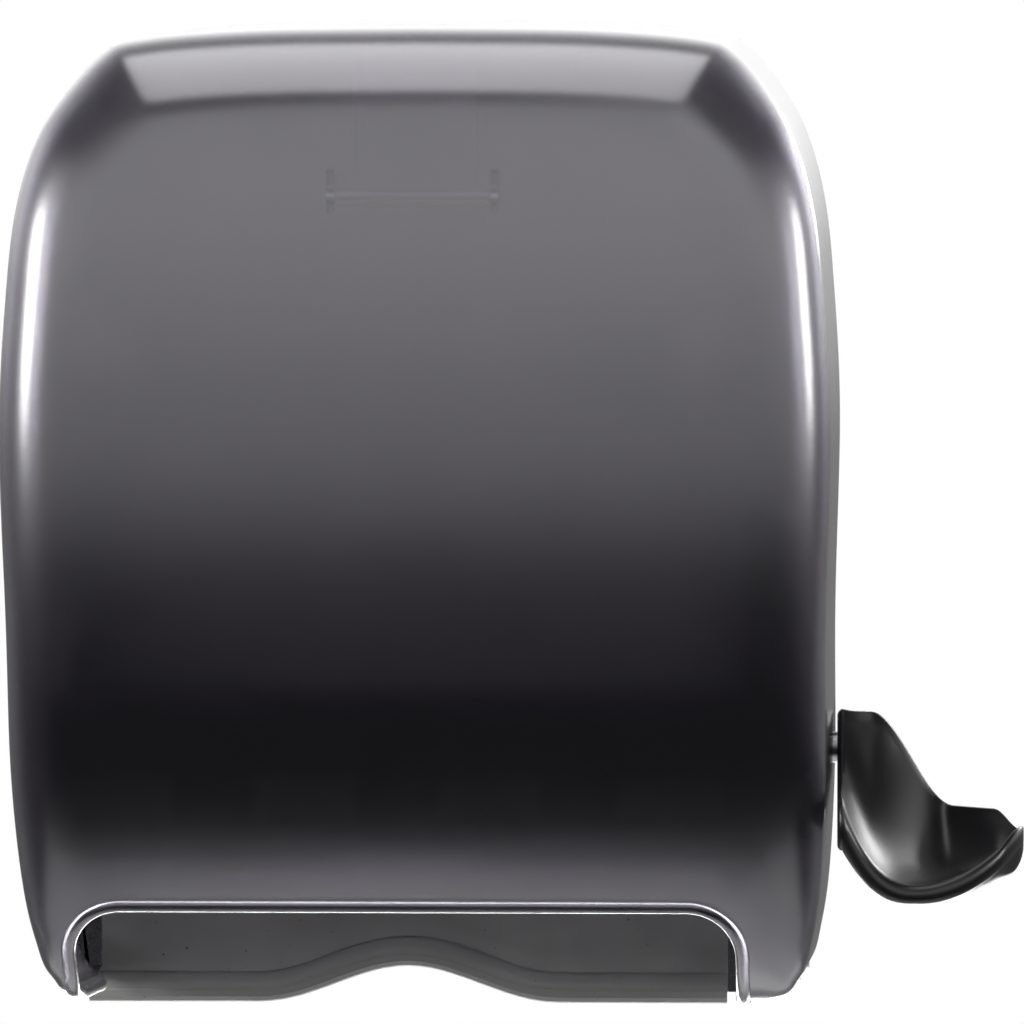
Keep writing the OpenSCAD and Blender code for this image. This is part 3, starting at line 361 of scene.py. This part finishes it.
ZINC = metal("zinc_screws", (0.5, 0.5, 0.52), (0.68, 0.68, 0.70), (0.3, 0.45), (4, 4, 4), 0.5)

FINISH = {
    "pan_plastic": PAN,
    "black_plastic": BLACK,
    "smoke_plastic": SMOKE,
    "lever_plastic": LEVER,
    "steel": STEEL,
    "spring_steel": SPRING,
    "zinc": ZINC,
    "roller_rubber": SLEEVE,
    "rubber": RUBBER,
    "acetal": ACETAL,
}


def dress(obj, finish):
    obj.data.materials.clear()
    obj.data.materials.append(finish)


for row in frame["record"]["subparts"]:
    dress(nodes[row["node"]], FINISH[row["material_slot"]])
dress(nodes["latch_strap"], STRAP_SMOKE)
for name in ("left_roll_arm", "right_roll_arm", "left_core_hub", "right_core_hub"):
    dress(nodes[name], ARM_GREY)


# ---------------------------------------------------------------- the cover's curves
def outline_keys(w, h):
    """The case's right half seen from the front, from the crown's middle to the floor's."""
    return [
        (0, h), (0.4 * w, h - 0.7), (w - 42, h - 3.7), (w - 30, h - 8.6), (w - 17.6, h - 24),
        (w - 10.4, h - 38), (w - 5.1, h - 58), (w - 2.2, h - 84), (w, h - 128), (w - 1.4, 0.4 * h),
        (w - 1.4, 78), (w - 3, 42), (w - 5.7, 22), (w - 9.7, 9), (w - 21, 1), (0.45 * w, 0), (0, 0),
    ]


def curve(a, b, c, d, s):
    """A point between b and c of the smooth curve through all four."""
    square, cube = 2 * a - 5 * b + 4 * c - d, 3 * b - a - 3 * c + d
    return 0.5 * (2 * b + (c - a) * s + square * s * s + cube * s**3)


def spline(keys, steps):
    made = []
    for i in range(len(keys) - 1):
        four = [keys[max(i - 1, 0)], keys[i], keys[i + 1], keys[min(i + 2, len(keys) - 1)]]
        for j in range(steps):
            made.append(tuple(curve(*(k[axis] for k in four), j / steps) for axis in (0, 1)))
    return made


def ease(s):
    s = min(max(s, 0), 1)
    return s * s * (3 - 2 * s)


def inset_point(p, ix, iz):
    return p[0] * (HALF_W - ix) / HALF_W, HALF_H + (p[1] - HALF_H) * (HALF_H - iz) / HALF_H


def front_depth(z):
    if z > FULL_LEVEL:
        return CASE_D - TUCK_HIGH * ((z - FULL_LEVEL) / (CASE_H - FULL_LEVEL)) ** 2
    return CASE_D - TUCK_LOW * ((FULL_LEVEL - z) / FULL_LEVEL) ** 2.6


WALL_STATIONS = [i / 8 for i in range(8)]
CORNER_TURNS = [7.5 * i for i in range(13)]
FRONT_SHRINKS = [0.04, 0.09, 0.15, 0.22, 0.3, 0.38, 0.46, 0.54, 0.62, 0.7, 0.78, 0.86, 0.93]
OUTLINE_STEPS = 8


def case_point(p, station, turn, shrink, t):
    """A point of the case's skin, t inside the outer one."""
    side = ease((abs(p[0]) / HALF_W - SIDE_FROM) / SIDE_SPAN)
    start = CORNER_START_TOP + (CORNER_START_SIDE - CORNER_START_TOP) * side
    share = start * station + (1 - start) * math.sin(math.radians(turn))
    lean = 1 - math.cos(math.radians(turn))
    ix = t + DRAFT * share + (CORNER_X - t) * lean
    iz = t + CROWN_FALL * share + (CORNER_Z - t) * lean
    x, z = inset_point(p, ix, iz)
    x *= 1 - shrink
    z = HALF_H + (z - HALF_H) * (1 - shrink)
    return grid_point(x, COVER_REAR + (front_depth(z) - t - COVER_REAR) * share, z)


def case_shell():
    right = spline(outline_keys(HALF_W, CASE_H), OUTLINE_STEPS)
    outline = right + [(0, 0)] + [(-x, z) for x, z in reversed(right[1:])]
    rings = [(s, 0, 0) for s in WALL_STATIONS]
    rings += [(1, a, 0) for a in CORNER_TURNS]
    rings += [(1, 90, s) for s in FRONT_SHRINKS]
    n = len(outline)
    verts, faces = [], []
    for side, t in enumerate((0, COVER_WALL)):
        base = len(verts)
        verts += [case_point(p, *ring, t) for ring in rings for p in outline]
        verts.append(grid_point(0, front_depth(HALF_H) - t, HALF_H))
        faces += skin_faces(base, len(rings), n)
        last = base + (len(rings) - 1) * n
        faces += [(last + j, last + (j + 1) % n, len(verts) - 1) for j in range(n)]
        if side:
            faces += [(j, (j + 1) % n, base + (j + 1) % n, base + j) for j in range(n)]
    made = mesh_object("smoked_cover", verts, faces)
    face_outwards(made)
    return made


def mouth_outline():
    a, b = -MOUTH_LEFT + MOUTH_R, MOUTH_RIGHT - MOUTH_R
    arc = [math.radians(90 * i / 16) for i in range(17)]
    left = [(a - MOUTH_R * math.cos(w), MOUTH_H - MOUTH_R + MOUTH_R * math.sin(w)) for w in arc]
    right = [(b + MOUTH_R * math.sin(w), MOUTH_H - MOUTH_R + MOUTH_R * math.cos(w)) for w in arc]
    return [(-MOUTH_LEFT, -20)] + left + right + [(MOUTH_RIGHT, -20)]


def slot_outline():
    """The arc about the hinge, open to the rear edge, that lets the lever's shaft pass."""
    reach = math.hypot(LEVER_Y - HINGE_Y, LEVER_Z - HINGE_Z)
    half = LEVER_SHAFT_D / 2 + SLOT_GAP
    first = math.atan2(LEVER_Z - HINGE_Z, LEVER_Y - HINGE_Y)
    last = math.pi / 2 + 0.12
    steps = 24
    turns = [first + (last - first) * i / steps for i in range(steps + 1)]
    outer, inner = (
        [(HINGE_Y + radius * math.cos(w), HINGE_Z + radius * math.sin(w)) for w in turns]
        for radius in (reach + half, reach - half)
    )
    nose = [math.pi * i / 12 for i in range(1, 12)]
    end = [
        (
            HINGE_Y + reach * math.cos(first) + half * math.cos(first - math.pi + w),
            HINGE_Z + reach * math.sin(first) + half * math.sin(first - math.pi + w),
        )
        for w in nose
    ]
    return outer + inner[::-1] + end


def key_outline():
    steps = 36
    shares = [i / steps for i in range(steps + 1)]
    waves = [(KEY_SPAN * (v - 0.5), KEY_Y - KEY_WAVE * math.cos(6 * math.pi * v)) for v in shares]
    return [(x, y - KEY_HALF) for x, y in waves] + [(x, y + KEY_HALF) for x, y in reversed(waves)]


def sweep(name, path, radius, sides=14):
    """A round bar along any path of points in metres."""
    verts = []
    for i, p in enumerate(path):
        along = (path[min(i + 1, len(path) - 1)] - path[max(i - 1, 0)]).normalized()
        out = along.cross(Vector((0, 1, 0))).normalized()
        deep = out.cross(along)
        for k in range(sides):
            w = 2 * math.pi * k / sides
            verts.append(p + (out * math.cos(w) + deep * math.sin(w)) * radius)
    return capped_bar(name, verts, len(path), sides)


def mouth_bead(shell):
    """The rolled edge of the mouth, as a round bar that follows the shell's front."""
    a, b = -MOUTH_LEFT - BEAD_OUT, MOUTH_RIGHT + BEAD_OUT
    radius, top = MOUTH_R + BEAD_OUT, MOUTH_H + BEAD_OUT
    arc = [math.radians(90 * i / 14) for i in range(15)]
    line = [(a, 3.4 + 3.8 * i) for i in range(5)]
    line += [(a + radius * (1 - math.cos(w)), top - radius * (1 - math.sin(w))) for w in arc]
    line += [(a + radius + (b - a - 2 * radius) * i / 12, top) for i in range(1, 12)]
    line += [(b - radius * (1 - math.sin(w)), top - radius * (1 - math.cos(w))) for w in arc]
    line += [(b, 18.6 - 3.8 * i) for i in range(5)]
    path = []
    for x, z in line:
        start = grid_point(x, CASE_D + 60, z)
        hit, where, _, _ = shell.ray_cast(start, Vector((0, 1, 0)))
        if hit:
            path.append(where + Vector((0, BEAD_SINK * MM, 0)))
    return sweep("bead", path, BEAD_R * MM)


def build_cover():
    cover = case_shell()
    bead = mouth_bead(cover)
    for s in (-1, 1):
        x0 = s * (STRAP_HALF + 1)
        top = CASE_H - COVER_WALL / 2
        rib = [
            (RIB_REAR, CREST_Z),
            (RIB_REAR, top - CROWN_FALL * RIB_REAR / CASE_D),
            (RIB_FRONT, top - CROWN_FALL * RIB_FRONT / CASE_D),
            (RIB_FRONT, CREST_Z),
        ]
        combine(cover, prism("rib", rib, "x", x0, x0 + s * RIB_T), "UNION")
        ear = [
            (LATCH_Y - 5, LATCH_Z + 5),
            (LATCH_Y - 5, LATCH_Z - 5),
            (front_depth(LATCH_Z) - 1.5, LATCH_Z - 7),
            (front_depth(LATCH_Z) - 1.5, LATCH_Z + 7),
        ]
        x1 = s * (FOOT_HALF + 2)
        combine(cover, prism("ear", ear, "x", x1 - 1.25, x1 + 1.25), "UNION")
        boss = circle_outline(HINGE_Y, HINGE_Z, HINGE_BOSS_R)
        combine(cover, prism("boss", boss, "x", s * (EAR_OUT + 0.4), s * (EAR_OUT + 2)), "UNION")
    combine(cover, prism("mouth", mouth_outline(), "y", -5, CASE_D + 10), "DIFFERENCE")
    combine(cover, bead, "UNION")
    combine(cover, prism("slot", slot_outline(), "x", HALF_W - 20, HALF_W + 10), "DIFFERENCE")
    combine(cover, prism("key", key_outline(), "z", CASE_H - 12, CASE_H + 8), "DIFFERENCE")
    floor = [(-6, -1), (HINGE_Y + 14, -1), (HINGE_Y + 14, MOUTH_H - 1), (-6, MOUTH_H - 1)]
    combine(cover, prism("floor", floor, "x", -EAR_OUT - 0.4, EAR_OUT + 0.4), "DIFFERENCE")
    reach = HINGE_Z - 0.5
    turns = [math.radians(180 + 90 * i / 12) for i in range(13)]
    heel = [(HINGE_Y + reach * math.cos(w), HINGE_Z + reach * math.sin(w)) for w in turns]
    corner = [(HINGE_Y, -1), (-1, -1), (-1, HINGE_Z)] + heel
    combine(cover, prism("heel", corner, "x", -HALF_W - 1, HALF_W + 1), "DIFFERENCE")
    for x0, x1, y, z, d in (
        (-EAR_OUT - 3, -EAR_OUT, HINGE_Y, HINGE_Z, PIN_BORE_D),
        (EAR_OUT, EAR_OUT + 3, HINGE_Y, HINGE_Z, PIN_BORE_D),
        (-FOOT_HALF - 8, FOOT_HALF + 8, LATCH_Y, LATCH_Z, LATCH_PIN_D),
    ):
        combine(cover, prism("bore", circle_outline(y, z, d / 2), "x", x0, x1), "DIFFERENCE")
    return cover


cover = build_cover()
smooth(cover, 30)
dress(cover, SMOKE)
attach(cover, "cover")
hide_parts("cover")

# The feet's inner walls, seen as dark panes beside the pan's lower edge: the cover's smoke plastic in a much
# darker copy, painted shade inside the feet
for name, x0, x1 in (
    ("left_foot_pane", -EAR_OUT - 1.5, -MOUTH_LEFT - 0.5),
    ("right_foot_pane", FOOT_RIGHT + 0.4, EAR_OUT),
):
    flare = 5.0 if x0 < 0 else 0.0
    top = MOUTH_H - 2
    face = [(x0 + flare, PANE_LOW), (x0, 12), (x0, top), (x1, top), (x1, 9), (x1 - 4, PANE_LOW)]
    pane = prism(name, face, "y", PANE_Y, PANE_Y + PANE_T)
    soften_edges(pane, 0.4, 40, 2)
    dress(pane, SMOKE_PAINTED_SHADE)
    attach(pane, "cover")


# ---------------------------------------------------------------- the lever's dished blade
def rear_edge(u):
    """The dish's rear edge at u of its length, as -y and z."""
    y = -REAR_Y - REAR_SWEEP * ease((u - 0.45) / 0.55)
    fall, tip = ease((u - 0.16) / 0.46), ease((u - 0.84) / 0.16)
    return y, REAR_Z + REAR_RISE * (1 - fall) - TIP_FALL * tip


def front_edge(u):
    """The dish's front lip at u of its length, as -y and z."""
    near = max(LOW_U - u, 0) / LOW_U
    rise = FRONT_RISE * ((u - LOW_U) / 0.5) ** 2 if u > LOW_U else 21.5 * near**2.5
    return -FRONT_Y + 16 * (max(u - 0.45, 0) / 0.55) ** 2 + 8 * near**2, FRONT_Z + rise


def lip_radius(u):
    swell = 0.5 * (u - LOW_U) if u > LOW_U else 1.5 * ((LOW_U - u) / LOW_U) ** 2
    return LEVER_T / 2 * (0.85 + swell)


def fullness(u):
    """The section's share of its full size: 1, and less along the round tip."""
    if u <= ROUND_U:
        return 1.0
    return math.sqrt(max(1 - ((u - ROUND_U) / ROUND_SPAN) ** 2, 0)) * 0.88 + 0.12


BLADE_CUTS, LIP_TURNS = 20, 9


def blade_loop(u, rim):
    """Section of the blade at u of its length, as (y, z) pairs from the rear edge round the front lip.

    rim is what the section is thicker than the plain blade, all round, in mm."""
    f = fullness(u)
    rear, front = Vector(rear_edge(u)), Vector(front_edge(u))
    middle = (rear + front) / 2
    a, b = middle + (rear - middle) * f, middle + (front - middle) * f
    along = (b - a).normalized()
    up = Vector((-along.y, along.x))
    ra = LEVER_T / 2 * (0.5 + 0.4 * f) + rim
    rb = lip_radius(u) * (0.5 + 0.5 * f) + rim
    shares = [k / BLADE_CUTS for k in range(BLADE_CUTS + 1)]
    line = [a + (b - a) * v + up * (DISH_DEPTH * f * 4 * v * (1 - v)) for v in shares]
    thick = [ra + (rb - ra) * v * v for v in shares]
    turns = [math.pi * i / (LIP_TURNS + 1) for i in range(1, LIP_TURNS + 1)]
    loop = [p - up * r for p, r in zip(line, thick)]
    loop += [b + rb * (math.sin(w) * along - math.cos(w) * up) for w in turns]
    loop += [p + up * r for p, r in reversed(list(zip(line, thick)))]
    loop += [a - ra * (math.sin(w) * along - math.cos(w) * up) for w in turns]
    return [(-p.x, p.y) for p in loop]


def build_lever():
    edge = [(BLADE_X0 - CHEEK_REACH + reach, 0, rim) for reach, rim in CHEEK_EDGE]
    stations = [ROUND_U * i / 48 for i in range(48)]
    stations += [ROUND_U + ROUND_SPAN * math.sin(math.pi / 2 * i / 14) for i in range(15)]
    rims = [CHEEK_RIM * max(1 - u / 0.12, 0) ** 2 for u in stations]
    cuts = edge + [(BLADE_X0 + u * BLADE_LEN, u, rim) for u, rim in zip(stations, rims)]
    loops = [blade_loop(u, rim) for _, u, rim in cuts]
    n = len(loops[0])
    verts = [grid_point(x, y, z) for (x, _, _), loop in zip(cuts, loops) for y, z in loop]
    lever = capped_bar("dished_lever", verts, len(loops), n)
    bar = [
        (LEVER_Y, LEVER_Z + BOSS_R), (LEVER_Y, LEVER_Z - BOSS_R), (130, 65),
        (159.7, 72.4), (146.4, 83.1), (139.5, 93.4),
    ]
    arm = prism("bar", bar, "x", HUB_X, HUB_X + ARM_W)
    boss = prism("boss", circle_outline(LEVER_Y, LEVER_Z, BOSS_R), "x", HUB_X, HUB_X + ARM_W)
    combine(arm, boss, "UNION")
    combine(lever, arm, "UNION")
    for depth, d in ((SOCKET, LEVER_SHAFT_D), (ARM_W + 1, SCREW_D)):
        bore = prism("bore", circle_outline(LEVER_Y, LEVER_Z, d / 2), "x", HUB_X - 1, HUB_X + depth)
        combine(lever, bore, "DIFFERENCE")
    soften_edges(lever, 0.9, 42, 3)
    return lever


lever = build_lever()
smooth(lever, 50)
dress(lever, LEVER)
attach(lever, "lever")
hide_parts("lever")


# ---------------------------------------------------------------- guard over the lever's gears
def build_guard():
    """A black moulded hood in front of the gears, open behind and below."""
    face = [
        (101.2, 58), (123, 58), (123, 152), (121.5, 157),
        (117.5, 159), (110, 160), (106, 164), (101.2, 165),
    ]
    inside = [
        (103, 50), (121.4, 50), (121.4, 151), (120, 155.4),
        (116.8, 157.3), (109, 158.2), (105, 162), (103, 162.6),
    ]
    hood = prism("drive_guard", face, "y", GUARD_REAR, GUARD_FRONT)
    hollow = prism("hollow", inside, "y", GUARD_REAR - 10, GUARD_FRONT - GUARD_WALL)
    combine(hood, hollow, "DIFFERENCE")
    soften_edges(hood, 1.2, 40, 3)
    return hood


guard = build_guard()
smooth(guard, 40)
dress(guard, BLACK)
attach(guard, "chassis")


# ---------------------------------------------------------------- the pan and its rolled lip
def tube(name, path, radius, sides=28):
    """A round bar along points that run across the case in one upright plane."""
    verts = []
    for i, (x, y, z) in enumerate(path):
        before, after = path[max(i - 1, 0)], path[min(i + 1, len(path) - 1)]
        slope = math.atan2(after[2] - before[2], after[0] - before[0])
        for k in range(sides):
            w = 2 * math.pi * k / sides
            rise = radius * math.sin(w)
            across, up = x - rise * math.sin(slope), z + rise * math.cos(slope)
            verts.append(grid_point(across, y + radius * math.cos(w), up))
    return capped_bar(name, verts, len(path), sides)


def lip_path():
    wave = [WAVE_X + i * WAVE_W / 24 for i in range(-24, 25)]
    ends = (-EAR_OUT + 0.2, FOOT_RIGHT - 0.2)

    def level(x):
        if abs(x - WAVE_X) >= WAVE_W:
            return 0
        return WAVE_H * (1 + math.cos(math.pi * (x - WAVE_X) / WAVE_W)) / 2

    return [(x, LIP_D / 2 + 0.1, level(x) + 0.5) for x in (ends[0], *wave, ends[1])]


pan = bpy.data.objects.new("speckled_pan", nodes["back_pan"].data.copy())
bpy.context.scene.collection.objects.link(pan)
# The right ear's leg would stand out beside the cover's round foot
leg = [(EAR_OUT - 8, -4.0), (EAR_OUT + 2, -4.0), (EAR_OUT + 2, LEG_TOP), (EAR_OUT - 8, LEG_TOP)]
combine(pan, prism("leg", leg, "y", -5.0, 9.0), "DIFFERENCE")
dress(pan, PAN)
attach(pan, "chassis")
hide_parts("back_pan")

rolled_lip = tube("rolled_lip", lip_path(), LIP_D / 2 + 0.04)
smooth(rolled_lip, 40)
dress(rolled_lip, PAN)
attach(rolled_lip, "chassis")


# ---------------------------------------------------------------- camera, light and stage
def aim(obj, place, target):
    obj.location = place
    obj.rotation_euler = (Vector(target) - Vector(place)).to_track_quat("-Z", "Y").to_euler()


CAMERA_TARGET = (0.0260, -0.0989, -0.0378)
CAMERA_TURN, CAMERA_RISE, CAMERA_REACH = math.radians(2.23), math.radians(2.16), 2.624
CAMERA_LENS, CAMERA_SENSOR = 290.1, 36
camera = bpy.data.objects.new("camera", bpy.data.cameras.new("camera"))
bpy.context.scene.collection.objects.link(camera)
camera.data.lens = CAMERA_LENS
camera.data.sensor_width = CAMERA_SENSOR
camera.data.clip_end = 50
level = CAMERA_REACH * math.cos(CAMERA_RISE)
aim(
    camera,
    (
        CAMERA_TARGET[0] + level * math.sin(CAMERA_TURN),
        CAMERA_TARGET[1] - level * math.cos(CAMERA_TURN),
        CAMERA_TARGET[2] + CAMERA_REACH * math.sin(CAMERA_RISE),
    ),
    CAMERA_TARGET,
)
bpy.context.scene.camera = camera


def softbox(name, place, target, width, height, power):
    data = bpy.data.lights.new(name, "AREA")
    data.shape = "RECTANGLE"
    data.size, data.size_y = width, height
    data.energy = power
    lamp = bpy.data.objects.new(name, data)
    bpy.context.scene.collection.objects.link(lamp)
    aim(lamp, place, target)


# Name, place, target, width and height in metres, and watts. The overhead box gives the crown its gleam
# and the one behind lights the floor, which the cover's foot reflects.
for lamp in (
    ("left_box", (-1.22, -0.85, 0.24), (-0.1, -0.15, 0.02), 0.34, 0.5, 12),
    ("right_box", (1.35, -0.64, 0.26), (0.1, -0.15, 0.02), 0.3, 0.5, 9.5),
    ("over_box", (-0.015, -0.23, 0.42), (-0.015, -0.23, 0.0), 0.37, 0.5, 1.6),
    ("floor_box", (0.0, 1.0, -0.6), (0.0, -0.15, -1.25), 0.8, 0.3, 7.5),
    ("lever_box", (0.78, 0.83, 0.34), (0.17, -0.14, -0.1), 0.3, 0.4, 3.6),
    ("front_box", (0.5, -2.2, 1.5), (0.0, -0.1, -0.03), 1.0, 1.0, 3),
):
    softbox(*lamp)

FLOOR_SIDE, FLOOR_FRONT, FLOOR_REAR, FLOOR_LEVEL = 0.8, -0.5, 0.8, -1.25
floor_corners = [
    (-FLOOR_SIDE, FLOOR_FRONT, FLOOR_LEVEL),
    (FLOOR_SIDE, FLOOR_FRONT, FLOOR_LEVEL),
    (FLOOR_SIDE, FLOOR_REAR, FLOOR_LEVEL),
    (-FLOOR_SIDE, FLOOR_REAR, FLOOR_LEVEL),
]
floor_mesh = mesh_object("floor", floor_corners, [(0, 1, 2, 3)])
floor_paint, _, floor_shader = new_material("pale_floor")
floor_shader.inputs["Base Color"].default_value = (0.8, 0.8, 0.8, 1)
floor_shader.inputs["Roughness"].default_value = 0.9
dress(floor_mesh, floor_paint)


# Ramps of the world's strength along a direction's Y (the sides) or Z (rise and fall): the two ends of
# each ramp, and the strength or share at both
BEHIND_SIDE, FRONT_SIDE = (-0.1, 0.35, 0, 1), (-0.3, 0.15, 1, 0)
SWEEP_RISE, SWEEP_FALL = (-0.03, 0.15, 0.15, 1.5), (0.4, 0.72, 1.5, 0.06)
BAND_RISE, BAND_FALL = (-0.28, 0.2, 0.0, 1.5), (0.3, 0.6, 1.5, 0.08)


def studio_world(world):
    """White to the camera. To all else a pale sweep behind, a bright band in front, dim above and below."""
    world.use_nodes = True
    tree = world.node_tree
    tree.nodes.clear()
    path = tree.nodes.new("ShaderNodeLightPath")
    where = tree.nodes.new("ShaderNodeTexCoord")
    parts = tree.nodes.new("ShaderNodeSeparateXYZ")
    tree.links.new(where.outputs["Generated"], parts.inputs["Vector"])
    height = parts.outputs["Z"]

    def joined(how, a, b):
        both = tree.nodes.new("ShaderNodeMath")
        both.operation = how
        tree.links.new(a, both.inputs[0])
        tree.links.new(b, both.inputs[1])
        return both.outputs["Value"]

    sweep_height = joined("MINIMUM", spread(tree, height, *SWEEP_RISE), spread(tree, height, *SWEEP_FALL))
    behind = joined("MULTIPLY", spread(tree, parts.outputs["Y"], *BEHIND_SIDE), sweep_height)
    band = joined("MINIMUM", spread(tree, height, *BAND_RISE), spread(tree, height, *BAND_FALL))
    front = joined("MULTIPLY", band, spread(tree, parts.outputs["Y"], *FRONT_SIDE))
    total = joined("MAXIMUM", behind, front)
    mixed = tree.nodes.new("ShaderNodeMix")
    mixed.data_type = "FLOAT"
    tree.links.new(path.outputs["Is Camera Ray"], mixed.inputs["Factor"])
    tree.links.new(total, mixed.inputs["A"])
    mixed.inputs["B"].default_value = 1.0
    glow = tree.nodes.new("ShaderNodeBackground")
    glow.inputs["Color"].default_value = (1, 1, 1, 1)
    tree.links.new(mixed.outputs["Result"], glow.inputs["Strength"])
    out = tree.nodes.new("ShaderNodeOutputWorld")
    tree.links.new(glow.outputs["Background"], out.inputs["Surface"])


bpy.context.scene.world = bpy.data.worlds.new("studio")
studio_world(bpy.context.scene.world)
bpy.context.scene.view_settings.view_transform = "Standard"
